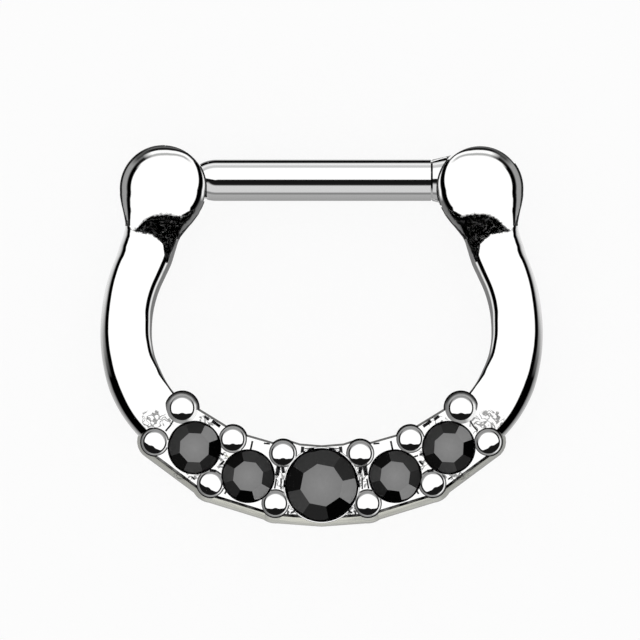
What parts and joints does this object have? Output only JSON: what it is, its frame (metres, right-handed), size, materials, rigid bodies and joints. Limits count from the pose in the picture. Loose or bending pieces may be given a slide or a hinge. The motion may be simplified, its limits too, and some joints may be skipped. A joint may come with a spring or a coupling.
{
  "type": "hinged clicker ring",
  "caption": "Polished steel clicker ring with a straight hinged bar between two balls and a front row of round black faceted stones held by bead prongs.",
  "frame": {"origin": "middle of the object's outline on the surface that it lies on", "axes": "+X to the right, towards the hinge, +Y up the ring from the stones to the bar, +Z out of the front, through the stones' tables"},
  "size_m": [0.0154, 0.0132, 0.003],
  "materials": {
    "steel": "mirror polished",
    "bar_steel": "mirror polished",
    "pin_steel": "polished",
    "stone": "polished opaque black"
  },
  "bodies": {
    "ring": {"ring_body": "steel", "hinge_pin": "pin_steel", "stone_1": "stone", "stone_2": "stone", "stone_3": "stone", "stone_4": "stone", "stone_5": "stone"},
    "bar": {"bar": "bar_steel"}
  },
  "joints": [
    {"name": "bar_hinge", "type": "hinge", "parent": "ring", "child": "bar", "pos_m": [0.00551, 0.00513, 0.00151], "axis": [0, 0, -1], "range_deg": [0, 95]}
  ]
}
